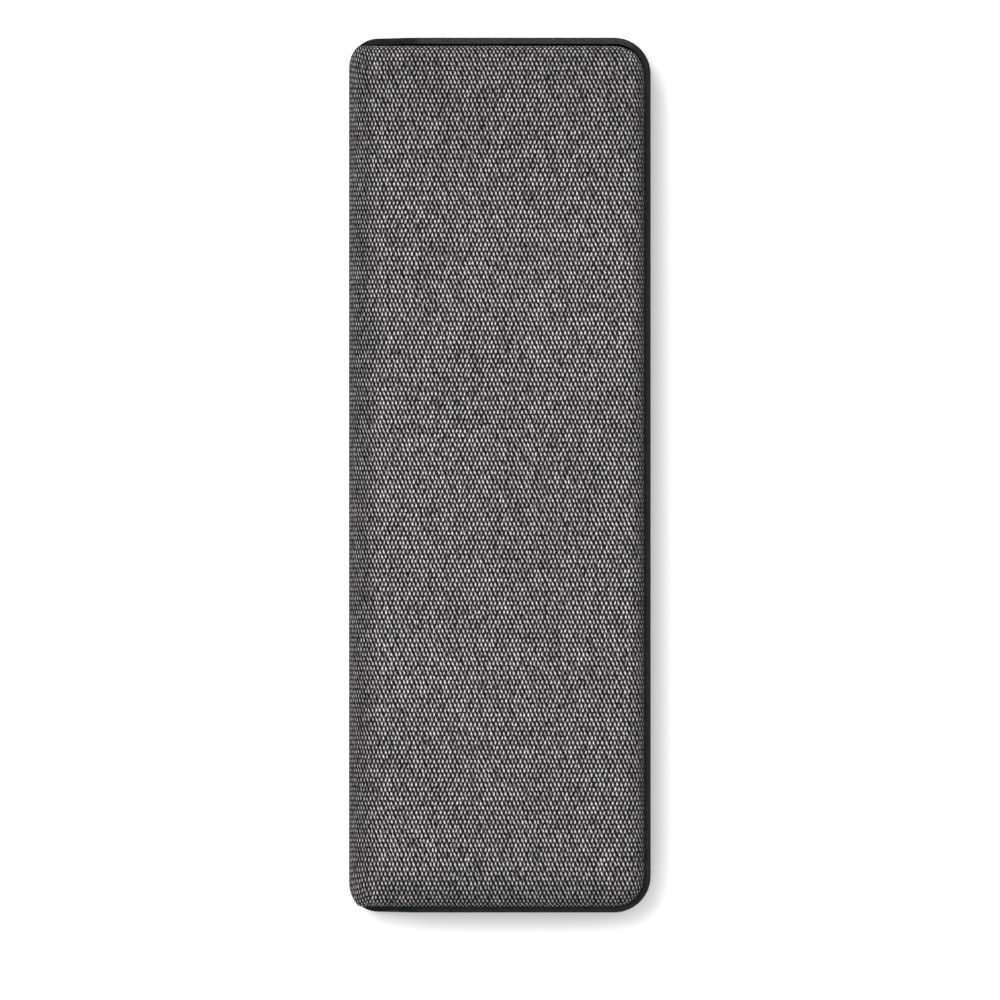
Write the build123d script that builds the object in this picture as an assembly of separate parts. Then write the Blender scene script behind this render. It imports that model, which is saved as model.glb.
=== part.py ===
from build123d import *
import os
from math import atan, sin, sqrt

# Wrist rest: a fabric-covered pad on a stiff carrier plate, screwed down into a shallow moulded tray.
# Millimetres. +X runs along the rest, -Y is the front (the user's side), +Z is up.
# The origin is on the desk, under the centre of the outline.

# Overall sizes
length = 200.0
depth = 69.0
height = 18.0

# Plan outline of the whole rest
front_corner_radius = 6.7
rear_corner_radius = 8.35

# Tray
tray_wall = 1.5
tray_floor = 2.0
stand_height = 1.0  # how far the feet hold the tray off the desk
rim_drop = 4.5  # from the top of the pad down to the rim
rim_lip_radius = 0.4
rim_inner_radius = 0.2
tray_bottom_radius = 0.6
rim_sweep_run = 14.0  # the length of the S-curve by which the end walls fall to the front lip
rim_tip_thickness = 0.7  # how thin the end walls have become at the foot of that curve
front_lip_gap = 0.3  # shadow gap between the front lip and the fabric above it

# Pad
pad_gap = 0.3  # between the pad and the rim
waterfall_radius = 10.0
front_upright = 0.5  # the least upright height of fabric left between the front's two round-overs
pad_edge_radius = 3.5
cover_thickness = 0.9
cover_ease = 0.1  # between the fabric and what it is wrapped on
cover_bottom_radius = 0.8
hem_width = 8.0
hem_tape_thickness = 0.2
hem_tape_width = 5.0
foam_adhesive_thickness = 0.2
foam_adhesive_inset = 2.5
foam_adhesive_corner_radius = 3.0
carrier_thickness = 2.0

# Screws, driven up through the tray's bosses into the bosses under the carrier plate
screw_shank_radius = 1.05
screw_head_radius = 2.3
screw_head_height = 1.3
screw_length = 4.0
screw_socket_radius = 0.9
screw_socket_depth = 0.7
pilot_clearance = 0.05
shank_clearance = 0.35
head_clearance = 0.2
tip_clearance = 0.2
head_recess = 0.1  # from the foot's recess up to the face of the screw head
boss_seat = 1.0
boss_wall = 1.9
carrier_boss_wall = 1.9
carrier_boss_height = 2.0
boss_hem_clearance = 0.8

# Feet
foot_radius = 6.0
foot_thickness = 1.8
foot_edge_radius = 0.4
foot_adhesive_thickness = 0.2
foot_adhesive_inset = 0.4
foot_clearance = 0.2

# Ribs that hold the carrier plate up between the bosses
rib_thickness = 1.2
rib_gap = 0.1
rib_pitch = 8.0
rib_rows = 3
cross_rib_count = 5

# Levels, from the desk up
tray_bottom = stand_height
floor_top = tray_bottom + tray_floor
foot_recess_top = foot_thickness + foot_adhesive_thickness
head_seat = foot_recess_top + head_recess + screw_head_height
tray_boss_top = head_seat + boss_seat
carrier_bottom = tray_boss_top + carrier_boss_height
carrier_top = carrier_bottom + carrier_thickness
foam_bottom = carrier_top + foam_adhesive_thickness
pad_bottom = carrier_bottom - hem_tape_thickness - cover_thickness
front_radius = min(waterfall_radius, height - pad_bottom - cover_bottom_radius - front_upright)
rim_top = height - rim_drop
front_lip_top = pad_bottom - front_lip_gap

# Half sizes and stations
half_length = length / 2
half_depth = depth / 2
pad_half_length = half_length - tray_wall - pad_gap
pad_rear = half_depth - tray_wall - pad_gap
pad_rear_radius = rear_corner_radius - tray_wall - pad_gap
pilot_radius = screw_shank_radius + pilot_clearance
carrier_boss_radius = pilot_radius + carrier_boss_wall
station_inset = cover_thickness + hem_width + boss_hem_clearance + carrier_boss_radius
station_x = pad_half_length - station_inset
station_y = pad_rear - station_inset
columns = {"left": -station_x, "middle": 0.0, "right": station_x}
rows = {"front": -station_y, "rear": station_y}
stations = {f"{row}_{column}": (x, y) for row, y in rows.items() for column, x in columns.items()}
tolerance = 1e-4


def block(x_low, x_high, y_low, y_high, z_low, z_high):
    """A box between two corners."""
    solid = Box(x_high - x_low, y_high - y_low, z_high - z_low)
    return Pos((x_low + x_high) / 2, (y_low + y_high) / 2, (z_low + z_high) / 2) * solid


def disc(x, y, radius, z_low, z_high):
    """An upright cylinder between two levels."""
    return Pos(x, y, (z_low + z_high) / 2) * Cylinder(radius, z_high - z_low)


def at_level(edges, z):
    """The edges that lie wholly at one height."""
    return edges.filter_by(lambda edge: all(abs(v.Z - z) < tolerance for v in edge.vertices()))


def uprights_behind(solid):
    """The upright edges on the rear half of a solid."""
    return solid.edges().filter_by(Axis.Z).filter_by(lambda edge: edge.center().Y > 0)


def outline_solid(inset, z_low, z_high):
    """The whole rest's plan outline, moved inwards by the inset and extruded between two levels."""
    x = half_length - inset
    y = half_depth - inset
    solid = block(-x, x, -y, y, z_low, z_high)
    solid = fillet(uprights_behind(solid), rear_corner_radius - inset)
    front_uprights = solid.edges().filter_by(Axis.Z).filter_by(lambda edge: edge.center().Y < 0)
    return fillet(front_uprights, front_corner_radius - inset)


def waterfall_solid(inset):
    """The side section with its large front round-over, from the desk up, extruded along the rest."""
    radius = front_radius - inset
    front = -half_depth + inset
    top = height - inset
    with BuildPart() as section:
        with BuildSketch(Plane.YZ):
            with BuildLine():
                Line((front, 0.0), (front, top - radius))
                RadiusArc((front, top - radius), (front + radius, top), radius)
                Line((front + radius, top), (half_depth, top))
                Line((half_depth, top), (half_depth, 0.0))
                Line((half_depth, 0.0), (front, 0.0))
            make_face()
        extrude(amount=half_length, both=True)
    return section.part


def pad_solid(inset, z_low):
    """The pad's outer form moved inwards by the inset, from a level up to its top."""
    x = pad_half_length - inset
    rear = pad_rear - inset
    top = height - inset
    front = -half_depth - 2 * waterfall_radius  # well past the front, to be trimmed by the outline
    solid = block(-x, x, front, rear, z_low, top)
    solid = fillet(uprights_behind(solid), pad_rear_radius - inset)
    top_edges = at_level(solid.edges(), top).filter_by(lambda edge: edge.center().Y > front + tolerance)
    solid = fillet(top_edges, pad_edge_radius - inset)
    return solid & outline_solid(inset, z_low, top) & waterfall_solid(inset)


def pad_core(z_low, z_high):
    """What the fabric is wrapped on, between two levels."""
    core = pad_solid(cover_thickness + cover_ease, z_low)
    return core & block(-half_length, half_length, -half_depth, half_depth, z_low, z_high)


def make_cover():
    """The fabric shell, open below inside its turned-under hem."""
    shell = pad_solid(0.0, pad_bottom)
    shell = fillet(at_level(shell.edges(), pad_bottom), cover_bottom_radius)
    shell -= pad_solid(cover_thickness, pad_bottom + cover_thickness)
    opening = cover_thickness + hem_width
    return shell - block(
        -pad_half_length + opening,
        pad_half_length - opening,
        -half_depth + opening,
        pad_rear - opening,
        pad_bottom - cover_thickness,
        pad_bottom + 2 * cover_thickness,
    )


def make_foam():
    """The cushion, glued to the top of the carrier plate."""
    return pad_core(foam_bottom, height)


def make_foam_adhesive():
    """The adhesive sheet between the cushion and the carrier plate."""
    edge = cover_thickness + cover_ease + foam_adhesive_inset
    x = pad_half_length - edge
    sheet = block(-x, x, -half_depth + edge, pad_rear - edge, carrier_top, foam_bottom)
    return fillet(sheet.edges().filter_by(Axis.Z), foam_adhesive_corner_radius)


def make_carrier():
    """The stiff plate with a blind screw boss under it at each station."""
    plate = pad_core(carrier_bottom, carrier_top)
    for x, y in stations.values():
        plate += disc(x, y, carrier_boss_radius, tray_boss_top, carrier_bottom)
    for x, y in stations.values():
        plate -= disc(x, y, pilot_radius, tray_boss_top, head_seat + screw_length + tip_clearance)
    return plate


def make_hem_tapes():
    """Four straight tape strips between the hem and the underside of the plate, one along each side."""
    low = pad_bottom + cover_thickness
    high = carrier_bottom
    edge = cover_thickness + (hem_width - hem_tape_width) / 2
    corner = edge + front_corner_radius  # the strips stop short of the gathered corners
    outer = pad_half_length - edge
    inner = outer - hem_tape_width
    front_outer = -half_depth + edge
    rear_outer = pad_rear - edge
    side_front = front_outer + hem_tape_width + edge
    side_rear = rear_outer - hem_tape_width - edge
    reach = pad_half_length - corner
    return {
        "front": block(-reach, reach, front_outer, front_outer + hem_tape_width, low, high),
        "rear": block(-reach, reach, rear_outer - hem_tape_width, rear_outer, low, high),
        "left": block(-outer, -inner, side_front, side_rear, low, high),
        "right": block(inner, outer, side_front, side_rear, low, high),
    }


def make_rim_trim():
    """What is cut from the walls ahead of the rim: the front, down to the lip, and the S-curve behind it."""
    tip_side = front_corner_radius - tray_wall + rim_tip_thickness
    foot = -half_depth + front_corner_radius - sqrt(front_corner_radius**2 - tip_side**2)
    rise = rim_top - front_lip_top
    turn = 2 * atan(rise / rim_sweep_run)
    radius = rim_sweep_run / (2 * sin(turn))
    middle = (foot + rim_sweep_run / 2, front_lip_top + rise / 2)
    crest = (foot + rim_sweep_run, rim_top)
    with BuildPart() as trim:
        with BuildSketch(Plane.YZ):
            with BuildLine():
                Line((-depth, front_lip_top), (foot, front_lip_top))
                RadiusArc((foot, front_lip_top), middle, -radius)
                RadiusArc(middle, crest, radius)
                Line(crest, (crest[0], height))
                Line((crest[0], height), (-depth, height))
                Line((-depth, height), (-depth, front_lip_top))
            make_face()
        extrude(amount=length, both=True)
    return trim.part


def make_tray_cavity():
    """The space that the pad drops into, open at the top and, above the low front wall, at the front."""
    x = half_length - tray_wall
    rear = half_depth - tray_wall
    cavity = block(-x, x, -half_depth - tray_wall, rear, floor_top, height)
    cavity = fillet(uprights_behind(cavity), rear_corner_radius - tray_wall)
    front_wall = outline_solid(0.0, floor_top, front_lip_top) - outline_solid(tray_wall, floor_top, front_lip_top)
    return cavity - front_wall


def on_outline(edges, inset):
    """The edges that lie on the upright sides of the plan outline moved inwards by the inset."""
    solid = outline_solid(inset, 0.0, height)
    sides = solid.faces().filter_by(lambda face: abs(face.normal_at().Z) < tolerance)
    return edges.filter_by(
        lambda edge: all(min(side.distance_to(edge @ at) for side in sides) < tolerance for at in (0.0, 0.5, 1.0))
    )


def make_tray():
    """The moulded tray: floor, walls with a swept rim, ribs, screw bosses and foot recesses."""
    tray = outline_solid(0.0, tray_bottom, rim_top)
    tray = fillet(at_level(tray.edges(), tray_bottom), tray_bottom_radius)
    tray -= make_tray_cavity()
    tray -= make_rim_trim()
    upper = tray.edges().filter_by(lambda edge: edge.bounding_box().min.Z > front_lip_top - tolerance)
    tray = fillet(on_outline(upper, 0.0), rim_lip_radius)
    tray = fillet(on_outline(at_level(tray.edges(), rim_top), tray_wall), rim_inner_radius)
    rib_half_width = (rib_rows - 1) / 2 * rib_pitch + rib_thickness / 2
    rib_top = carrier_bottom - rib_gap
    rib_reach = station_x
    for row in range(rib_rows):
        y = (row - (rib_rows - 1) / 2) * rib_pitch
        tray += block(-rib_reach, rib_reach, y - rib_thickness / 2, y + rib_thickness / 2, floor_top, rib_top)
    for number in range(cross_rib_count):
        x = (number / (cross_rib_count - 1) * 2 - 1) * rib_reach
        tray += block(x - rib_thickness / 2, x + rib_thickness / 2, -rib_half_width, rib_half_width, floor_top, rib_top)
    for x, y in stations.values():
        tray += disc(x, y, screw_head_radius + head_clearance + boss_wall, floor_top, tray_boss_top)
    for x, y in stations.values():
        tray -= disc(x, y, foot_radius + foot_clearance, 0.0, foot_recess_top)
        tray -= disc(x, y, screw_head_radius + head_clearance, foot_recess_top, head_seat)
        tray -= disc(x, y, screw_shank_radius + shank_clearance, head_seat, tray_boss_top)
    return tray


def make_screw(x, y):
    """One pan-head screw, point up, with a round driver socket in its head."""
    head = disc(x, y, screw_head_radius, head_seat - screw_head_height, head_seat)
    shank = disc(x, y, screw_shank_radius, head_seat, head_seat + screw_length)
    tip = at_level(shank.edges(), head_seat + screw_length)
    shank = chamfer(tip, screw_shank_radius / 2)
    low_edge = at_level(head.edges(), head_seat - screw_head_height)
    head = fillet(low_edge, screw_head_height / 3)
    head_face = head_seat - screw_head_height
    return head + shank - disc(x, y, screw_socket_radius, head_face, head_face + screw_socket_depth)


def make_foot(x, y):
    """One rubber foot, with its edge on the desk rounded."""
    foot = disc(x, y, foot_radius, 0.0, foot_thickness)
    return fillet(at_level(foot.edges(), 0.0), foot_edge_radius)


def make_foot_adhesive(x, y):
    """The adhesive disc that holds one foot in its recess."""
    return disc(x, y, foot_radius - foot_adhesive_inset, foot_thickness, foot_recess_top)


nodes = {
    "cover_fabric": make_cover(),
    "foam_cushion": make_foam(),
    "foam_adhesive": make_foam_adhesive(),
    "carrier_plate": make_carrier(),
    "base_tray": make_tray(),
    "assembly_screws": Compound(children=[make_screw(x, y) for x, y in stations.values()]),
}
for side, strip in make_hem_tapes().items():
    nodes[f"hem_tape_{side}"] = strip
for station, (x, y) in stations.items():
    nodes[f"foot_{station}"] = make_foot(x, y)
    nodes[f"foot_adhesive_{station}"] = make_foot_adhesive(x, y)

os.makedirs("parts", exist_ok=True)
for name, shape in nodes.items():
    export_step(shape, f"parts/{name}.step")
    print(name, round(shape.volume, 2))
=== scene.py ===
from math import asin, cos, pi, radians, sin, sqrt

import bmesh
import bpy
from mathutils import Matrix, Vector, noise


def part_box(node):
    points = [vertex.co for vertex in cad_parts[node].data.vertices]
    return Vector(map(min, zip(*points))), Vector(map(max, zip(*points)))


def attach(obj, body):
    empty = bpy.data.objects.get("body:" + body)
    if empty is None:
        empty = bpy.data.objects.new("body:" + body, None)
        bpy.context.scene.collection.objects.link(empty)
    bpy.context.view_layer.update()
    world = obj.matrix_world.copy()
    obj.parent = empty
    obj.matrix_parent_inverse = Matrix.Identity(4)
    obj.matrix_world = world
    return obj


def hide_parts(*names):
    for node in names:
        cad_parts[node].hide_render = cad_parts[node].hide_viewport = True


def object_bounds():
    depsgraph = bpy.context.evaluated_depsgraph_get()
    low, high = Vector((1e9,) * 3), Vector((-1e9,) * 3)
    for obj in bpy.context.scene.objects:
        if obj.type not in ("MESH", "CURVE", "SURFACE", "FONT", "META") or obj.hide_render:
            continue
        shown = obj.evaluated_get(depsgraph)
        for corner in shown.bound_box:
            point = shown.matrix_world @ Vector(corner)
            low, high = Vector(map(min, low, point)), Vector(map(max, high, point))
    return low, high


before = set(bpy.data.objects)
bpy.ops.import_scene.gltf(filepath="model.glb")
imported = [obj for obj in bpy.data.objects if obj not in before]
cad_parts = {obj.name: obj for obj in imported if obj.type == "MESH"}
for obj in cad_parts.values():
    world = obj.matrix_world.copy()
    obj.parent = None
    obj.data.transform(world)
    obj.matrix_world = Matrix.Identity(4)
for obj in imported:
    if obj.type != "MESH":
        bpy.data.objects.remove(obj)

# A fabric-topped wrist rest: a covered foam pad in a shallow moulded tray.
# Metres. +X runs along the rest, -Y is the user's side, +Z is up.
scene = bpy.context.scene
body = "root"
cadLow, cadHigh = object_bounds()
padLow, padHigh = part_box("cover_fabric")
foamLow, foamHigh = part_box("foam_cushion")
trayLow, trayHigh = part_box("base_tray")
print("loaded the frame:", len(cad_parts), "nodes")


# finishes

mixSockets = {"factor": 0, "first": 6, "second": 7, "result": 2}  # of a Mix node set to colour


class Amount:
    # a number worked out over a surface, so that sums with it read as sums
    def __init__(self, finish, socket):
        self.finish = finish
        self.socket = socket

    def __add__(self, other):
        return self.finish.sum("ADD", self, other)

    __radd__ = __add__

    def __sub__(self, other):
        return self.finish.sum("SUBTRACT", self, other)

    def __rsub__(self, other):
        return self.finish.sum("SUBTRACT", other, self)

    def __mul__(self, other):
        return self.finish.sum("MULTIPLY", self, other)

    __rmul__ = __mul__

    def __truediv__(self, other):
        return self.finish.sum("DIVIDE", self, other)

    def __pow__(self, other):
        return self.finish.sum("POWER", self, other)

    def __neg__(self):
        return self.finish.sum("MULTIPLY", self, -1.0)

    def __abs__(self):
        return self.finish.sum("ABSOLUTE", self)

    def floor(self):
        return self.finish.sum("FLOOR", self)

    def atLeast(self, other):
        return self.finish.sum("MAXIMUM", self, other)

    def fade(self, start, end):
        # 0 at start, 1 at end, smooth between
        made = self.finish.node(
            "ShaderNodeMapRange",
            {"interpolation_type": "SMOOTHSTEP"},
            {"Value": self, "From Min": start, "From Max": end},
        )
        return Amount(self.finish, made.outputs["Result"])


class Finish:
    # one material, and the ways of adding nodes to it
    def __init__(self, name, shader=None):
        self.material = bpy.data.materials.new(name)
        self.material.use_nodes = True
        self.tree = self.material.node_tree
        self.shader = self.tree.nodes["Principled BSDF"]
        self.set(**(shader or {}))

    def plug(self, socket, value):
        if isinstance(value, Amount):
            value = value.socket
        if isinstance(value, bpy.types.NodeSocket):
            self.tree.links.new(value, socket)
        elif socket.type == "VECTOR":
            socket.default_value = value[:3]
        else:
            socket.default_value = value

    def node(self, kind, settings=None, inputs=None):
        made = self.tree.nodes.new(kind)
        for name, value in (settings or {}).items():
            setattr(made, name, value)
        for name, value in (inputs or {}).items():
            self.plug(made.inputs[name], value)
        return made

    def sum(self, operation, *values):
        made = self.node("ShaderNodeMath", {"operation": operation}, dict(enumerate(values)))
        return Amount(self, made.outputs[0])

    def set(self, **values):
        # values for the shader's own sockets, with _ for a space
        for name, value in values.items():
            self.plug(self.shader.inputs[name.replace("_", " ")], value)

    def blend(self, factor, first, second):
        values = {"factor": factor, "first": first, "second": second}
        inputs = {mixSockets[name]: value for name, value in values.items()}
        made = self.node("ShaderNodeMix", {"data_type": "RGBA"}, inputs)
        return made.outputs[mixSockets["result"]]

    def shade(self, colour, amount):
        # a colour made lighter or darker by an amount
        made = self.node(
            "ShaderNodeVectorMath",
            {"operation": "SCALE"},
            {"Vector": colour, "Scale": amount},
        )
        return made.outputs["Vector"]

    def here(self):
        return self.node("ShaderNodeTexCoord").outputs["Object"]

    def split(self, vector):
        made = self.node("ShaderNodeSeparateXYZ", inputs={"Vector": vector})
        return [Amount(self, made.outputs[axis]) for axis in "XYZ"]

    def join(self, x, y, z=0.0):
        return self.node("ShaderNodeCombineXYZ", inputs={"X": x, "Y": y, "Z": z}).outputs["Vector"]

    def resized(self, place, scale):
        made = self.node("ShaderNodeMapping", inputs={"Vector": place, "Scale": scale})
        return made.outputs["Vector"]

    def grain(self, place, size, detail=2.0, roughness=0.5, stretch=(1.0, 1.0, 1.0)):
        # soft noise from 0 to 1, with grains of a size in metres
        made = self.node(
            "ShaderNodeTexNoise",
            inputs={
                "Vector": self.resized(place, [1 / (size * share) for share in stretch]),
                "Scale": 1.0,
                "Detail": detail,
                "Roughness": roughness,
            },
        )
        return Amount(self, made.outputs["Fac"])

    def cells(self, place, size):
        # 0 at the middle of each cell, growing to its edge
        moved = self.resized(place, [1 / size] * 3)
        made = self.node("ShaderNodeTexVoronoi", inputs={"Vector": moved, "Scale": 1.0})
        return Amount(self, made.outputs["Distance"])

    def chances(self, x, y, salt):
        # three numbers from 0 to 1, the same all over one cell
        made = self.node(
            "ShaderNodeTexWhiteNoise",
            {"noise_dimensions": "3D"},
            {"Vector": self.join(x, y, salt)},
        )
        return self.split(made.outputs["Color"])

    def relief(self, height, strength=1.0):
        # height in metres
        made = self.node(
            "ShaderNodeBump",
            inputs={"Height": height, "Distance": 1.0, "Strength": strength},
        )
        self.set(Normal=made.outputs["Normal"])


def wear(piece, finish):
    # every slot of the piece gets the finish
    if not piece.material_slots:
        piece.data.materials.append(finish.material)
    for place in piece.material_slots:
        place.material = finish.material


# pad shapes

pad = {
    "edgeRadius": 0.0035,  # round-over along the rear and the two ends
    "frontRadius": 0.010,  # the waterfall under the user's wrists
    "cornerRadius": 0.0067,  # in plan
    "blendPower": 3.0,  # how sharply the two round-overs meet at the front corners
    "columns": 128,  # faces along the rest
    "rowsOfFaces": 48,  # faces across it
}


# cloth finish

weave = {
    "threadPitch": 0.000933,  # across the rest, between raised threads in a row
    "rowPitch": 0.001063,  # along the rest
    "waver": 0.10,  # how far rows and threads wander, in pitches
    "waverSize": 0.012,
    "halfLength": 0.00047,  # of one raised thread
    "lengthRange": (0.88, 0.24),  # the shortest, and how much more the longest has
    "halfWidth": 0.000226,
    "widthRange": (0.86, 0.3),
    "taper": 0.34,  # wider at one end
    "softEdge": (1.12, 0.48),  # where a raised thread starts, and where it is full
    "jitter": 0.00011,  # how far a raised thread may be from its place
    "lean": 0.09,  # how far the raised threads lean over, as a slope
    "leanSpread": 0.26,
    "leanDrift": 0.60,  # how far that changes from place to place
    "driftSize": 0.016,
    "lightYarn": (0.415, 0.401, 0.407, 1.0),
    # the dark yarn, darker than its own tone to carry painted shade in the gaps between the raised
    # threads
    "darkYarnAndGapShade": (0.0060, 0.0056, 0.0060, 1.0),
    "dullest": 0.52,  # the dimmest raised threads, against the brightest
    "dullShare": 0.28,  # of the raised threads
    "legWidth": 0.00011,  # the light yarn where it dives under the next row
    "legLight": 0.40,
    "legPatch": 0.0011,  # the size of the places where it shows
    "rightLegs": (0.33, 0.57),  # and how much of it shows there, either way
    "leftLegs": (0.44, 0.68),
    "threadHeight": 0.00010,
    "weftHeight": 0.00003,
    "threadEdgeShade": 0.58,  # painted shade: how much darker a raised thread is at its edges, where it curves away from the light
    "fibreSize": 0.00006,
    "fibreTone": 0.6,
    "patchSize": 0.0028,  # a few threads wide, where the yarn takes the dye differently
    "patchTone": 1.05,
    "streakSize": 0.010,
    "streakTone": 0.16,
    "mottleSize": 0.035,
    "mottleTone": 0.30,
}

# painted shade: how light the yarn is shown where the cloth goes over an edge and turns away from the
# light
# starts and fulls are outwards from the start of the round-over
edgeShading = {
    "front": {"tone": 0.62, "start": 0.0025, "full": 0.0075},
    "rear": {"tone": 0.62, "start": -0.001, "full": 0.004},
    "left": {"tone": 0.80, "start": -0.040, "full": 0.002},
    "right": {"tone": 0.62, "start": -0.009, "full": 0.004},
}
# painted shade: how much of the raised threads is lost on the way down the rear, which darkens the side
# turned from the light
rearShadeThinning = {"start": 0.002, "full": 0.0045, "loss": 0.5}


def threadPlan(finish, flat, cloth):
    # whose place a spot is in, and how far it is from the middle of that place, in pitches
    along, across, unused = finish.split(flat)
    rowWander = finish.grain(flat, cloth["waverSize"], 1.0) - 0.5
    threadWander = finish.grain(finish.join(across, along, 0.3), cloth["waverSize"], 1.0) - 0.5
    rowPlace = along / cloth["rowPitch"] + rowWander * (2 * cloth["waver"])
    row = rowPlace.floor()
    halfStep = finish.sum("FLOORED_MODULO", row, 2.0) * 0.5
    threadPlace = across / cloth["threadPitch"] + halfStep + threadWander * (2 * cloth["waver"])
    thread = threadPlace.floor()
    return row, thread, rowPlace - row - 0.5, threadPlace - thread - 0.5


def raisedThread(finish, plan, drift, cloth):
    # how much of a spot is raised light thread, how high it stands and how bright its thread is
    row, thread, inRow, inThread = plan
    leanDraw, lengthDraw, lightDraw = finish.chances(row, thread, 0.5)
    shiftDraw, widthDraw, riseDraw = finish.chances(row, thread, 7.5)
    forkDraw = finish.chances(row, thread, 4.5)[0].fade(0.25, 1.0)
    shortest, moreLength = cloth["lengthRange"]
    thinnest, moreWidth = cloth["widthRange"]
    away = inRow * cloth["rowPitch"] - (riseDraw - 0.5) * (1.2 * cloth["jitter"])
    lean = cloth["lean"] + (leanDraw - 0.5) * (2 * cloth["leanSpread"]) + drift * cloth["leanDrift"]
    sideways = inThread * cloth["threadPitch"] - lean * away - (shiftDraw - 0.5) * (2 * cloth["jitter"])
    alongThread = away / (cloth["halfLength"] * (shortest + moreLength * lengthDraw))
    taper = 1.0 + cloth["taper"] * alongThread
    width = cloth["halfWidth"] * (thinnest + moreWidth * widthDraw) * taper
    spot = alongThread * alongThread + (sideways / width) * (sideways / width)
    dome = (1.0 - spot).atLeast(0.0) ** 0.5
    # the plies part at the wider end
    fork = (abs(sideways) / width).fade(0.42, 0.0) * alongThread.fade(0.05, 0.75) * forkDraw
    raised = spot.fade(*cloth["softEdge"]) * (1.0 - fork)
    tone = cloth["dullest"] + (1.0 - cloth["dullest"]) * lightDraw.fade(0.0, cloth["dullShare"])
    return raised, dome, tone


def strayLegs(finish, flat, plan, drift, cloth):
    # the same yarn going down to the rows on either side
    along, across, unused = finish.split(flat)
    inRow, inThread = plan[2:]
    slope = 0.5 * cloth["threadPitch"] / cloth["rowPitch"]
    edge = (cloth["legWidth"] * 1.6, cloth["legWidth"] * 0.3)
    right = abs(inThread * cloth["threadPitch"] - inRow * (cloth["rowPitch"] * slope))
    left = abs(inThread * cloth["threadPitch"] + inRow * (cloth["rowPitch"] * slope))
    turned = finish.join(across, along, 3.3)
    rightShows = finish.grain(flat, cloth["legPatch"], 1.0).fade(*cloth["rightLegs"])
    leftShows = finish.grain(turned, cloth["legPatch"], 1.0).fade(*cloth["leftLegs"])
    both = (right.fade(*edge) * rightShows).atLeast(left.fade(*edge) * leftShows * 0.8)
    return both * abs(inRow * 2.0).fade(0.1, 0.7) * (0.9 + 1.2 * drift)


def paintedEdgeShade(along, across):
    # painted shade: 1 over the middle of the rest, less where the cloth goes over an edge and turns
    # from the light
    endStart = padHigh.x - pad["edgeRadius"]
    sides = {
        "front": (across, padLow.y + pad["frontRadius"], -1),
        "left": (along, -endStart, -1),
        "rear": (across, padHigh.y - pad["edgeRadius"], 1),
        "right": (along, endStart, 1),
    }
    losses = []
    for side, (place, roundStart, outward) in sides.items():
        edge = edgeShading[side]
        over = place.fade(roundStart + outward * edge["start"], roundStart + outward * edge["full"])
        losses.append(over * (1.0 - edge["tone"]))
    most = losses[0]
    for loss in losses[1:]:
        most = most.atLeast(loss)
    return 1.0 - most


def clothFinish(name, cloth):
    finish = Finish(
        name,
        {
            "Specular_IOR_Level": 0.03,
            "Sheen_Weight": 0.012,
            "Sheen_Roughness": 0.45,
            "Sheen_Tint": (0.9, 0.9, 0.92, 1.0),
        },
    )
    flat = finish.node("ShaderNodeUVMap", {"uv_map": "flatCloth"}).outputs["UV"]
    along, across, unused = finish.split(flat)
    plan = threadPlan(finish, flat, cloth)
    drift = finish.grain(finish.join(across, along, 9.1), cloth["driftSize"], 1.0) - 0.5
    raised, dome, tone = raisedThread(finish, plan, drift, cloth)
    legs = strayLegs(finish, flat, plan, drift, cloth)
    # painted shade: fewer raised threads down the rear round-over
    rearStart = padHigh.y - pad["edgeRadius"]
    goingDown = across.fade(rearStart + rearShadeThinning["start"], rearStart + rearShadeThinning["full"])
    raised = raised * (1.0 - rearShadeThinning["loss"] * goingDown)

    # fibres, and slow changes of tone over the cloth
    fibre = finish.grain(finish.join(along, across), cloth["fibreSize"], 2.0, 0.6, (3.0, 1.0, 1.0))
    streak = finish.grain(finish.join(along + across, (along - across) * 6.0), cloth["streakSize"], 2.0)
    mottle = finish.grain(flat, cloth["mottleSize"], 2.0)
    patches = finish.grain(finish.join(along, across, 5.7), cloth["patchSize"], 2.0)
    slow = 1.0 - 0.5 * cloth["mottleTone"] + cloth["streakTone"] * (streak - 0.5)
    slow = slow + cloth["mottleTone"] * mottle + cloth["patchTone"] * (patches - 0.5)
    # painted shade on the round-overs, where the cloth turns from the light
    slow = slow * paintedEdgeShade(along, across)

    # the light yarn, and the dark yarn that it goes over and under
    inRow, inThread = plan[2:]
    weftBead = (abs(inThread) * 2.0).fade(0.35, 1.0) * (1.0 - abs(inRow * 2.0).fade(0.4, 1.0))
    fibreTone = 1.0 + cloth["fibreTone"] * (fibre - 0.5)
    # painted shade: each raised thread darker towards its edges
    light = tone * (1.0 - cloth["threadEdgeShade"] * (1.0 - dome)) * fibreTone * slow
    # the dark yarn, partly its own tone and partly painted shade: darker beside the raised threads,
    # lighter on its beads between them
    dark = (0.75 + 0.9 * fibre + 0.7 * weftBead) * slow
    legColour = finish.shade(cloth["lightYarn"], cloth["legLight"] * slow * (0.6 + 0.8 * fibre))
    ground = finish.blend(legs * 0.8, finish.shade(cloth["darkYarnAndGapShade"], dark), legColour)
    finish.set(
        Base_Color=finish.blend(raised, ground, finish.shade(cloth["lightYarn"], light)),
        Roughness=0.92 - 0.14 * raised * fibre,
    )
    finish.relief(
        dome * raised * cloth["threadHeight"]
        + legs * (0.3 * cloth["threadHeight"])
        + weftBead * cloth["weftHeight"]
        + fibre * (0.1 * cloth["threadHeight"])
    )
    return finish


# how the pad is shaped

def overEdge(far, radius):
    # how far down and how much longer a surface is, this far past the start of a round-over
    far = min(max(far, 0.0), radius)
    return radius - sqrt(radius * radius - far * far), radius * asin(far / radius) - far


def alongRound(flat, start, radius):
    # the plan place of a spot on cloth that goes over a round-over beginning at start
    beyond = flat - start
    if beyond <= 0:
        return flat
    return start + radius * sin(min(beyond / radius, pi / 2))


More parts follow.
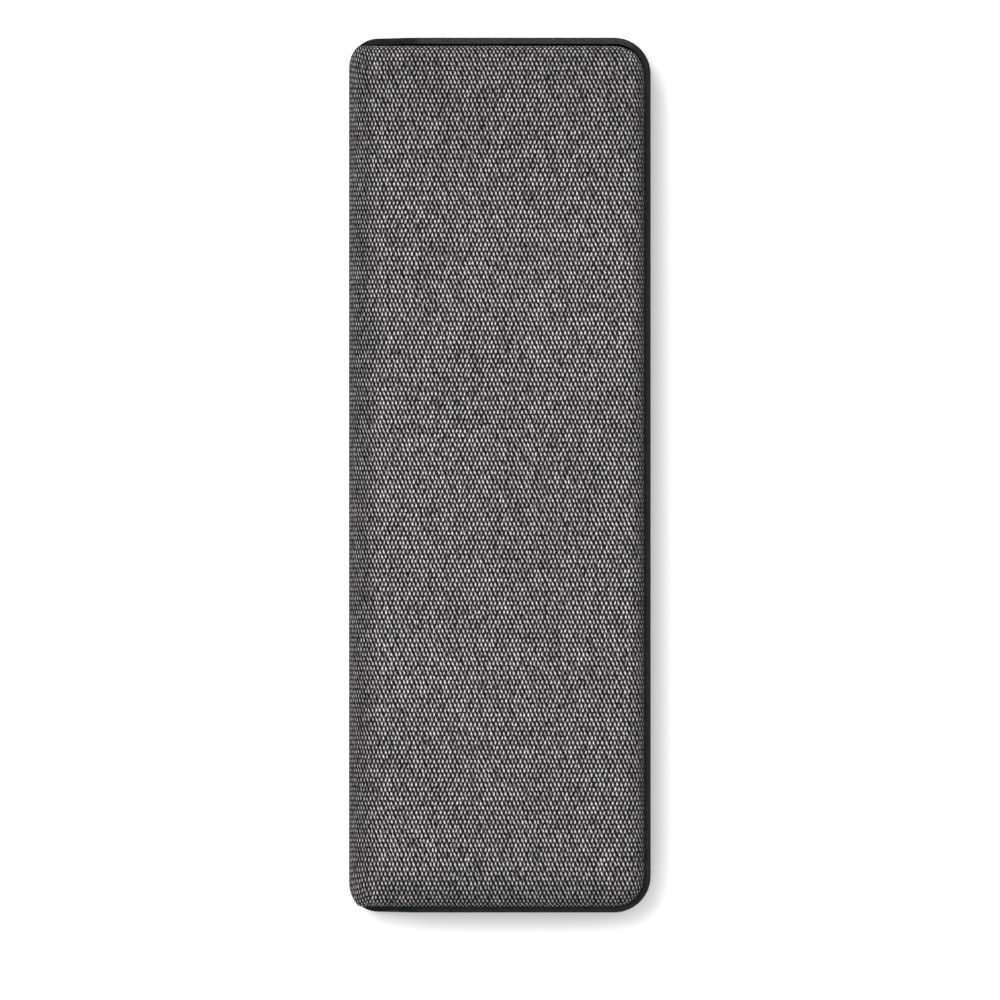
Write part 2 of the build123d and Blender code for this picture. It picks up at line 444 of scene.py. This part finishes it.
def nearest(x, y, low, high, corner):
    # the nearest spot of the rectangle that the outline's corner arcs are struck from
    return (
        min(max(x, low.x + corner), high.x - corner),
        min(max(y, low.y + corner), high.y - corner),
    )


def outwardAt(x, y, low, high, corner):
    # which way the outline faces, and how far this spot is from its corner centres
    coreX, coreY = nearest(x, y, low, high, corner)
    away = Vector((x - coreX, y - coreY))
    return away.normalized() if away.length > 1e-9 else Vector((0.0, 0.0)), away.length


def padTop(low, high, inset):
    # the top of the pad to its outline, as a grid, with where each vertex is on the flat cloth
    edgeRadius = pad["edgeRadius"] - inset
    frontRadius = pad["frontRadius"] - inset
    corner = pad["cornerRadius"] - inset
    endStart = high.x - edgeRadius
    rearStart = high.y - edgeRadius
    frontStart = low.y + frontRadius
    flatX = endStart + edgeRadius * pi / 2
    flatFront = frontStart - frontRadius * pi / 2
    flatRear = rearStart + edgeRadius * pi / 2
    bm = bmesh.new()
    bmesh.ops.create_grid(bm, x_segments=pad["columns"], y_segments=pad["rowsOfFaces"], size=1.0)
    flat = bm.verts.layers.float_vector.new("flat")
    for vert in bm.verts:
        u = vert.co.x * flatX
        v = flatFront + (vert.co.y + 1) / 2 * (flatRear - flatFront)
        x = alongRound(abs(u), endStart, edgeRadius) * (1 if u > 0 else -1)
        y = alongRound(v, rearStart, edgeRadius)
        y = -alongRound(-y, -frontStart, frontRadius)
        # the corner squares are drawn in to the outline's arcs
        coreX, coreY = nearest(x, y, low, high, corner)
        p = (x - coreX) / corner
        q = (y - coreY) / corner
        x = coreX + corner * p * sqrt(1 - q * q / 2)
        y = coreY + corner * q * sqrt(1 - p * p / 2)
        outward, away = outwardAt(x, y, low, high, corner)
        sideways = 1.0 - outward.y ** 2 if outward.y < 0 else 1.0
        edgeDrop, edgeExtra = overEdge(away - corner + edgeRadius, edgeRadius)
        frontDrop, frontExtra = overEdge(frontStart - y, frontRadius)
        power = pad["blendPower"]
        drop = (frontDrop ** power + (edgeDrop * sideways) ** power) ** (1 / power)
        vert.co = (x, y, high.z - drop)
        vert[flat] = (
            x + outward.x * edgeExtra,
            y + outward.y * edgeExtra * sideways - frontExtra,
            0.0,
        )
    return bm, flat


def topCount():
    # the top's vertices come first in every pad shape
    return (pad["columns"] + 1) * (pad["rowsOfFaces"] + 1)


def edgeLoop(bm):
    return [edge for edge in bm.edges if edge.is_boundary]


def extendSheet(bm, loop, move):
    # one more ring of cloth, each vertex moved by move(vertex)
    grown = bmesh.ops.extrude_edge_only(bm, edges=loop)["geom"]
    for vert in [part for part in grown if isinstance(part, bmesh.types.BMVert)]:
        move(vert)
    return [part for part in grown if isinstance(part, bmesh.types.BMEdge) and part.is_boundary]


def facingOut(bm):
    bmesh.ops.recalc_face_normals(bm, faces=bm.faces)


def addPiece(name, bm):
    mesh = bpy.data.meshes.new(name)
    bm.to_mesh(mesh)
    bm.free()
    for face in mesh.polygons:
        face.use_smooth = True
    piece = bpy.data.objects.new(name, mesh)
    scene.collection.objects.link(piece)
    return piece


cover = {
    "thickness": 0.0009,
    "wallRings": 8,
    "bottomRadius": 0.0010,
    "bottomRings": 3,
    "hemWidth": 0.0080,
    "hemRings": 4,
    "hemCorner": 0.0012,
    "flatSize": (0.236, 0.104),  # cut size: top, round-overs, sides and hems
    "pressure": 4.0,
    "frames": 20,
    "clothQuality": 5,
    "clothMass": 0.3,
    "clothStiffness": 15,
    "crown": 0.0007,  # how far the middle may rise
    "unevenness": 0.00006,
    "unevenSize": 0.030,
    "seatedTo": (0.00022, 0.00022),  # the pad sits this far towards the right end and the rear
    "overRim": 0.00020,  # and leans this much further out above the rim
    "seatedOff": (0.00016, 0.0),  # it sits this far off the left end
    "seatedFrom": 0.012,  # the cloth gives over this much of its edge
    "seatedRise": 0.0008,  # above the rim
}


def hemCornerAt(share):
    # the hem's corner radius in plan, from its outer edge to its inner one
    return (pad["cornerRadius"] - cover["bottomRadius"]) * (1 - share) + cover["hemCorner"] * share


def buildCover():
    bm, flat = padTop(padLow, padHigh, 0.0)
    corner = pad["cornerRadius"]
    wallEnd = padLow.z + cover["bottomRadius"]
    loop = edgeLoop(bm)

    def outward(vert):
        return outwardAt(vert.co.x, vert.co.y, padLow, padHigh, corner)[0]

    for ring in range(cover["wallRings"]):

        def down(vert):
            step = (vert.co.z - wallEnd) / (cover["wallRings"] - ring)
            vert.co.z -= step
            vert[flat] += step * outward(vert).to_3d()
        loop = extendSheet(bm, loop, down)

    turn = pi / 2 / cover["bottomRings"]
    radius = cover["bottomRadius"]
    for ring in range(cover["bottomRings"]):

        def under(vert):
            facing = outward(vert)
            inwards = radius * (cos(turn * ring) - cos(turn * (ring + 1)))
            vert.co.x -= facing.x * inwards
            vert.co.y -= facing.y * inwards
            vert.co.z -= radius * (sin(turn * (ring + 1)) - sin(turn * ring))
            vert[flat] += radius * turn * facing.to_3d()
        loop = extendSheet(bm, loop, under)

    # the hem, whose corners tighten ring by ring
    middle = (padLow + padHigh) / 2
    half = (padHigh - padLow) / 2
    shrink = cover["hemWidth"] / cover["hemRings"]
    for ring in range(cover["hemRings"]):
        nowIn = radius + shrink * ring
        nextIn = nowIn + shrink
        nowCorner = hemCornerAt(ring / cover["hemRings"])
        nextCorner = hemCornerAt((ring + 1) / cover["hemRings"])
        inset = Vector((nowIn, nowIn, 0))

        def hem(vert):
            core = nearest(vert.co.x, vert.co.y, padLow + inset, padHigh - inset, nowCorner)
            facing = Vector((vert.co.x - core[0], vert.co.y - core[1])).normalized()
            for axis in (0, 1):
                shortened = (half[axis] - nextIn - nextCorner) / (half[axis] - nowIn - nowCorner)
                newCore = middle[axis] + (core[axis] - middle[axis]) * shortened
                vert.co[axis] = newCore + facing[axis] * nextCorner
            vert[flat] += shrink * facing.to_3d()
        loop = extendSheet(bm, loop, hem)

    facingOut(bm)
    top = max(bm.faces, key=lambda face: face.calc_center_median().z)
    if top.normal.z < 0:
        bmesh.ops.reverse_faces(bm, faces=bm.faces)
    flatMap = bm.loops.layers.uv.new("flatCloth")
    for face in bm.faces:
        for spot in face.loops:
            spot[flatMap].uv = spot.vert[flat].xy
    bm.verts.layers.float_vector.remove(flat)
    return addPiece("cover", bm)


def blowUp(piece):
    # how far each vertex goes when a short cloth simulation blows the top of the pad up
    copy = piece.copy()
    copy.data = piece.data.copy()
    scene.collection.objects.link(copy)
    start = [vert.co.copy() for vert in copy.data.vertices]
    held = copy.vertex_groups.new(name="held")
    held.add(list(range(topCount(), len(start))), 1.0, "REPLACE")
    cloth = copy.modifiers.new("blown", "CLOTH")
    cloth.settings.quality = cover["clothQuality"]
    cloth.settings.mass = cover["clothMass"]
    cloth.settings.tension_stiffness = cover["clothStiffness"]
    cloth.settings.use_pressure = True
    cloth.settings.uniform_pressure_force = cover["pressure"]
    cloth.settings.effector_weights.gravity = 0
    cloth.settings.vertex_group_mass = "held"
    cloth.point_cache.frame_start = 1
    cloth.point_cache.frame_end = cover["frames"]
    for step in range(1, cover["frames"] + 1):
        scene.frame_set(step)
    blown = copy.evaluated_get(bpy.context.evaluated_depsgraph_get())
    moves = [end.co - begin for end, begin in zip(blown.data.vertices, start)]
    scene.frame_set(1)
    bpy.data.objects.remove(copy)
    return moves


def crownBy(moves):
    # the same moves made small enough for firm foam
    share = min(1.0, cover["crown"] / max(move.z for move in moves))
    return [move * share for move in moves]


def unevenAt(place):
    # the foam's own slow unevenness
    return cover["unevenness"] * noise.noise(place / cover["unevenSize"])


def partWay(value, start, end):
    return min(max((value - start) / (end - start), 0.0), 1.0)


def seat(vert, lean=0.0):
    # the pad is pressed to the tray's right and rear walls, and may lean over them
    overRim = lean * partWay(vert.co.z, trayHigh.z, trayHigh.z + cover["seatedRise"])
    clear = partWay(vert.co.z, foamLow.z, trayHigh.z)  # of the left wall
    give = cover["seatedFrom"]
    for axis in (0, 1):
        toHigh = partWay(vert.co[axis], padHigh[axis] - give, padHigh[axis])
        toLow = partWay(vert.co[axis], padLow[axis] + give, padLow[axis])
        vert.co[axis] += (cover["seatedTo"][axis] + overRim) * toHigh
        vert.co[axis] += cover["seatedOff"][axis] * clear * toLow


def fillCorner(vert):
    # the front corners bulge out over the tray's wall, which has come down to the lip there
    corner = pad["cornerRadius"]
    past = min(padLow.y + corner - vert.co.y, corner)
    if past <= 0:
        return
    reach = sqrt(corner * corner - past * past)
    outline = padHigh.x - corner + reach
    filled = min(trayHigh.x - corner + reach, padHigh.x)
    inner = padHigh.x - 2 * corner
    share = partWay(abs(vert.co.x), inner, outline)
    vert.co.x += (filled - outline) * share * share * (1 if vert.co.x > 0 else -1)


def lift(vert, move):
    vert.co += move
    vert.co.z += unevenAt(Vector((vert.co.x, vert.co.y, 0.0)))


def smoothOnce(piece):
    smooth = piece.modifiers.new("smooth", "SUBSURF")
    smooth.levels = 1
    smooth.render_levels = 1


layout = {
    "squeeze": 0.3,  # the walls and hems get less room
    "frontKept": -0.0435,  # full room from here
    "rearKept": 0.0355,  # to here across the cloth
    "endKept": 0.101,  # and from the middle to here along it
    "innerStrip": 0.05,  # of the height, for the side that nobody sees
    "margin": 0.004,
}


def squeezed(value, low, high):
    kept = min(max(value, low), high)
    return kept + (value - kept) * layout["squeeze"]


def layOut(bm, inner):
    # the map for its colours: two halves side by side, and the inner side in a strip above
    flatMap = bm.loops.layers.uv["flatCloth"]
    halves = bm.loops.layers.uv.new("OFBake")
    places = [spot[flatMap].uv for face in bm.faces for spot in face.loops]
    farAlong = max(place.x for place in places)
    frontEnd = min(place.y for place in places)
    rearEnd = max(place.y for place in places)
    low = squeezed(frontEnd, layout["frontKept"], layout["rearKept"])
    high = squeezed(rearEnd, layout["frontKept"], layout["rearKept"])
    far = squeezed(farAlong, 0.0, layout["endKept"])
    margin = layout["margin"]
    strip = layout["innerStrip"]
    for face in bm.faces:
        half = 1 if face.calc_center_median().x > 0 else 0
        for spot in face.loops:
            along, across = spot[flatMap].uv
            if face in inner:
                spot[halves].uv = (
                    (across - frontEnd) / (rearEnd - frontEnd),
                    1.0 - strip * (along + farAlong) / (2 * farAlong),
                )
                continue
            sideways = (squeezed(across, layout["frontKept"], layout["rearKept"]) - low) / (high - low)
            upwards = squeezed(abs(along), 0.0, layout["endKept"]) / far
            spot[halves].uv = (
                0.5 * half + margin + sideways * (0.5 - 2 * margin),
                margin + upwards * (1.0 - strip - 2 * margin),
            )


def thicken(piece):
    # the cloth gets its thickness on the inside
    bm = bmesh.new()
    bm.from_mesh(piece.data)
    made = bmesh.ops.solidify(bm, geom=bm.faces[:], thickness=cover["thickness"])["geom"]
    inner = {part for part in made if isinstance(part, bmesh.types.BMFace)}
    layOut(bm, inner)
    bm.to_mesh(piece.data)
    bm.free()


coverPiece = buildCover()
crown = crownBy(blowUp(coverPiece))
for index in range(topCount()):
    lift(coverPiece.data.vertices[index], crown[index])
for vert in coverPiece.data.vertices:
    seat(vert, cover["overRim"])
    fillCorner(vert)
thicken(coverPiece)
smoothOnce(coverPiece)
print("made the cover:", len(coverPiece.data.vertices), "vertices")


foam = {
    "inset": 0.0010,  # the cloth and a little ease
    "edgeHeight": 0.0001,  # least, at the front
    "wallRings": 2,
    "mergeWithin": 0.000001,
}


def buildFoam():
    bm, flat = padTop(foamLow, foamHigh, foam["inset"])
    bm.verts.layers.float_vector.remove(flat)
    for vert, move in zip(list(bm.verts), crown):
        lift(vert, move)
        seat(vert)
        vert.co.z = max(vert.co.z, foamLow.z + foam["edgeHeight"])
    loop = edgeLoop(bm)
    base = bmesh.ops.duplicate(bm, geom=bm.verts[:] + bm.edges[:] + bm.faces[:])["geom"]
    for vert in [part for part in base if isinstance(part, bmesh.types.BMVert)]:
        vert.co.z = foamLow.z
    for ring in range(foam["wallRings"]):

        def down(vert):
            vert.co.z -= (vert.co.z - foamLow.z) / (foam["wallRings"] - ring)
        loop = extendSheet(bm, loop, down)
    bmesh.ops.remove_doubles(bm, verts=bm.verts, dist=foam["mergeWithin"])
    facingOut(bm)
    return addPiece("foamPad", bm)


foamPiece = buildFoam()
smoothOnce(foamPiece)
print("made the foam:", len(foamPiece.data.vertices), "vertices")

wear(coverPiece, clothFinish("greyWeave", weave))
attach(coverPiece, body)
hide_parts("cover_fabric")
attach(foamPiece, body)
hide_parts("foam_cushion")


# finishes of the hard parts

trayPlastic = {
    "colour": (0.0044, 0.0044, 0.0046, 1.0),
    "speck": (0.0205, 0.0205, 0.0211, 1.0),
    "speckSize": 0.00030,
    "grainHeight": 0.000020,
    "roughness": 0.62,
    "wearBand": 0.0006,  # below the top of the rim
    "wear": 0.5,
    "paintedEndLight": 1.4,  # painted light: lighter at the left end, which faces the lamp
    "paintedEndLightFrom": 0.0025,
    "flowSize": 0.03,
    "shine": 0.09,
}

platePlastic = {
    "colour": (0.020, 0.020, 0.021, 1.0),
    "speck": (0.034, 0.034, 0.035, 1.0),
    "speckSize": 0.0006,
    "grainHeight": 0.000004,
    "roughness": 0.42,
    "flowSize": 0.03,
    "shine": 0.5,
}


def plasticFinish(name, plastic, rim=None):
    finish = Finish(name, {"Specular_IOR_Level": plastic["shine"]})
    place = finish.here()
    fine = finish.grain(place, plastic["speckSize"], 2.0, 0.6)
    coarse = finish.grain(place, plastic["speckSize"] * 9, 2.0)
    flow = finish.grain(place, plastic["flowSize"], 2.0, 0.5, (3.0, 1.0, 1.0))
    specks = fine.fade(0.42, 0.78)
    colour = finish.blend(specks, plastic["colour"], plastic["speck"])
    tone = 0.86 + 0.16 * coarse + 0.12 * flow
    if rim:
        endPlace, unused, height = finish.split(place)
        # painted light: the left end of the rim is made lighter, as the end that faces the lamp; the
        # patches along the top are wear
        atTop = height.fade(rim.z - plastic["wearBand"], rim.z)
        litEndMask = endPlace.fade(plastic["paintedEndLightFrom"] - rim.x, 0.5 * plastic["paintedEndLightFrom"] - rim.x)
        wearAndEndLight = plastic["wear"] * coarse.fade(0.35, 0.75) + plastic["paintedEndLight"] * litEndMask
        tone = tone + atTop * wearAndEndLight
    finish.set(
        Base_Color=finish.shade(colour, tone),
        Roughness=plastic["roughness"] + 0.16 * (fine - 0.5) - 0.08 * (flow - 0.5),
    )
    finish.relief(plastic["grainHeight"] * fine + plastic["grainHeight"] * 0.8 * coarse)
    return finish


rubber = {
    "colour": (0.018, 0.018, 0.019, 1.0),
    "dust": (0.10, 0.098, 0.092, 1.0),
    "grainSize": 0.00035,
    "grainHeight": 0.00002,
    "patchSize": 0.004,
}


def rubberFinish(name):
    finish = Finish(name, {"Specular_IOR_Level": 0.35})
    place = finish.here()
    grains = finish.grain(place, rubber["grainSize"], 3.0, 0.6)
    patches = finish.grain(place, rubber["patchSize"], 3.0, 0.6)
    dust = patches.fade(0.5, 0.85) * grains.fade(0.35, 0.7)
    colour = finish.blend(dust * 0.5, rubber["colour"], rubber["dust"])
    finish.set(Base_Color=colour, Roughness=0.80 + 0.12 * patches)
    finish.relief(rubber["grainHeight"] * grains)
    return finish


steel = {
    "colour": (0.52, 0.53, 0.55, 1.0),
    "dull": (0.30, 0.30, 0.31, 1.0),
    "brushSize": 0.00008,
    "brushHeight": 0.000002,
    "patchSize": 0.0012,
}


def steelFinish(name):
    finish = Finish(name)
    place = finish.here()
    brush = finish.grain(place, steel["brushSize"], 2.0, 0.6, (1.0, 1.0, 4.0))
    patches = finish.grain(place, steel["patchSize"], 3.0, 0.6)
    colour = finish.blend(patches.fade(0.4, 0.8), steel["colour"], steel["dull"])
    finish.set(
        Base_Color=finish.shade(colour, 0.85 + 0.3 * brush),
        Metallic=0.92 + 0.08 * brush,
        Roughness=0.30 + 0.22 * patches,
    )
    finish.relief(steel["brushHeight"] * brush)
    return finish


tape = {
    "colour": (0.60, 0.57, 0.50, 1.0),
    "fibre": (0.78, 0.76, 0.70, 1.0),
    "fibreSize": 0.0004,
    "fibreHeight": 0.000015,
    "blotchSize": 0.008,
}

glue = {
    "colour": (0.66, 0.65, 0.60, 1.0),
    "fibre": (0.80, 0.79, 0.75, 1.0),
    "fibreSize": 0.0009,
    "fibreHeight": 0.00001,
    "blotchSize": 0.008,
}


def tissueFinish(name, tissue):
    # matted fibres lying two ways
    finish = Finish(name, {"Specular_IOR_Level": 0.3})
    place = finish.here()
    oneWay = finish.grain(place, tissue["fibreSize"], 3.0, 0.7, (5.0, 0.6, 1.0))
    otherWay = finish.grain(place, tissue["fibreSize"], 3.0, 0.7, (0.6, 5.0, 1.0))
    fibres = oneWay.atLeast(otherWay).fade(0.45, 0.75)
    blotch = finish.grain(place, tissue["blotchSize"], 2.0)
    colour = finish.blend(fibres, tissue["colour"], tissue["fibre"])
    finish.set(Base_Color=finish.shade(colour, 0.9 + 0.2 * blotch), Roughness=0.55 + 0.3 * fibres)
    finish.relief(tissue["fibreHeight"] * fibres)
    return finish


spongeLook = {
    "wall": (0.075, 0.075, 0.08, 1.0),
    # painted shade inside the open cells
    "poreShade": (0.018, 0.018, 0.02, 1.0),
    "cellSize": 0.0007,
    "smallCells": 0.45,  # of that
    "cellDepth": 0.00012,
    "toneSize": 0.02,
}


def foamFinish(name):
    finish = Finish(name, {"Specular_IOR_Level": 0.2, "Sheen_Weight": 0.1})
    place = finish.here()
    cell = finish.cells(place, spongeLook["cellSize"])
    small = finish.cells(place, spongeLook["cellSize"] * spongeLook["smallCells"])
    holes = cell.fade(0.62, 0.30).atLeast(small.fade(0.5, 0.2) * 0.6)
    tone = finish.grain(place, spongeLook["toneSize"], 2.0)
    # painted shade: the open cells are darker than the cell walls
    colour = finish.blend(holes, spongeLook["wall"], spongeLook["poreShade"])
    finish.set(Base_Color=finish.shade(colour, 0.85 + 0.3 * tone), Roughness=0.95 - 0.05 * holes)
    finish.relief(-holes * spongeLook["cellDepth"])
    return finish


wear(foamPiece, foamFinish("charcoalFoam"))
trayFinish = plasticFinish("trayPlastic", trayPlastic, trayHigh)
plateFinish = plasticFinish("platePlastic", platePlastic)
feetFinish = rubberFinish("footRubber")
screwFinish = steelFinish("zincedSteel")
tapeFinish = tissueFinish("hemTape", tape)
glueFinish = tissueFinish("tackyTissue", glue)
for name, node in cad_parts.items():
    if name == "base_tray":
        wear(node, trayFinish)
    elif name == "carrier_plate":
        wear(node, plateFinish)
    elif name == "assembly_screws":
        wear(node, screwFinish)
    elif name.startswith("hem_tape"):
        wear(node, tapeFinish)
    elif "adhesive" in name:
        wear(node, glueFinish)
    elif name.startswith("foot"):
        wear(node, feetFinish)
print("gave every part its finish")


# floor, light and camera

studio = {
    "floorSize": 24.0,
    "floorColour": (0.85, 0.85, 0.85, 1.0),
    "skyLow": 0.20,  # at the horizon
    "skyHigh": 1.60,  # overhead
    "lampPower": 89.0,
    "lampSize": 1.9,
    "lampPlace": (-0.99, -0.99, 2.65),
    "cameraHeight": 4.0,
    "cameraReach": 10.0,
    "lens": 627.9,
    "sensor": 36.0,
    "aimAlong": 0.0057,  # past the middle of the rest
    "aimAcross": 0.00006,
}


def floorUnder():
    bm = bmesh.new()
    bmesh.ops.create_grid(bm, x_segments=1, y_segments=1, size=studio["floorSize"] / 2)
    piece = addPiece("floor", bm)
    look = {"Roughness": 0.9, "Specular_IOR_Level": 0.0, "Base_Color": studio["floorColour"]}
    paper = Finish("palePaper", look)
    wear(piece, paper)


def skyAndLamp():
    sky = bpy.data.worlds.new("studioSky")
    sky.use_nodes = True
    tree = sky.node_tree
    place = tree.nodes.new("ShaderNodeTexCoord")
    split = tree.nodes.new("ShaderNodeSeparateXYZ")
    rise = tree.nodes.new("ShaderNodeMapRange")
    rise.inputs["To Min"].default_value = studio["skyLow"]
    rise.inputs["To Max"].default_value = studio["skyHigh"]
    tree.links.new(place.outputs["Generated"], split.inputs["Vector"])
    tree.links.new(split.outputs["Z"], rise.inputs["Value"])
    tree.links.new(rise.outputs["Result"], tree.nodes["Background"].inputs["Strength"])
    tree.nodes["Background"].inputs["Color"].default_value = (1.0, 1.0, 1.0, 1.0)
    scene.world = sky
    lamp = bpy.data.lights.new("softBox", "AREA")
    lamp.shape = "SQUARE"
    lamp.size = studio["lampSize"]
    lamp.energy = studio["lampPower"]
    holder = bpy.data.objects.new("softBox", lamp)
    holder.location = studio["lampPlace"]
    holder.rotation_euler = (-Vector(studio["lampPlace"])).to_track_quat("-Z", "Y").to_euler()
    scene.collection.objects.link(holder)


def cameraAbove():
    lens = bpy.data.cameras.new("above")
    lens.lens = studio["lens"]
    lens.sensor_width = studio["sensor"]
    lens.clip_end = studio["cameraReach"]
    middle = (cadLow + cadHigh) / 2
    holder = bpy.data.objects.new("above", lens)
    holder.location = (
        middle.x + studio["aimAlong"],
        middle.y + studio["aimAcross"],
        studio["cameraHeight"],
    )
    holder.rotation_euler = (0.0, 0.0, radians(90))
    scene.collection.objects.link(holder)
    scene.camera = holder


floorUnder()
skyAndLamp()
cameraAbove()
scene.view_settings.view_transform = "Standard"
print("set the floor, the light and the camera")
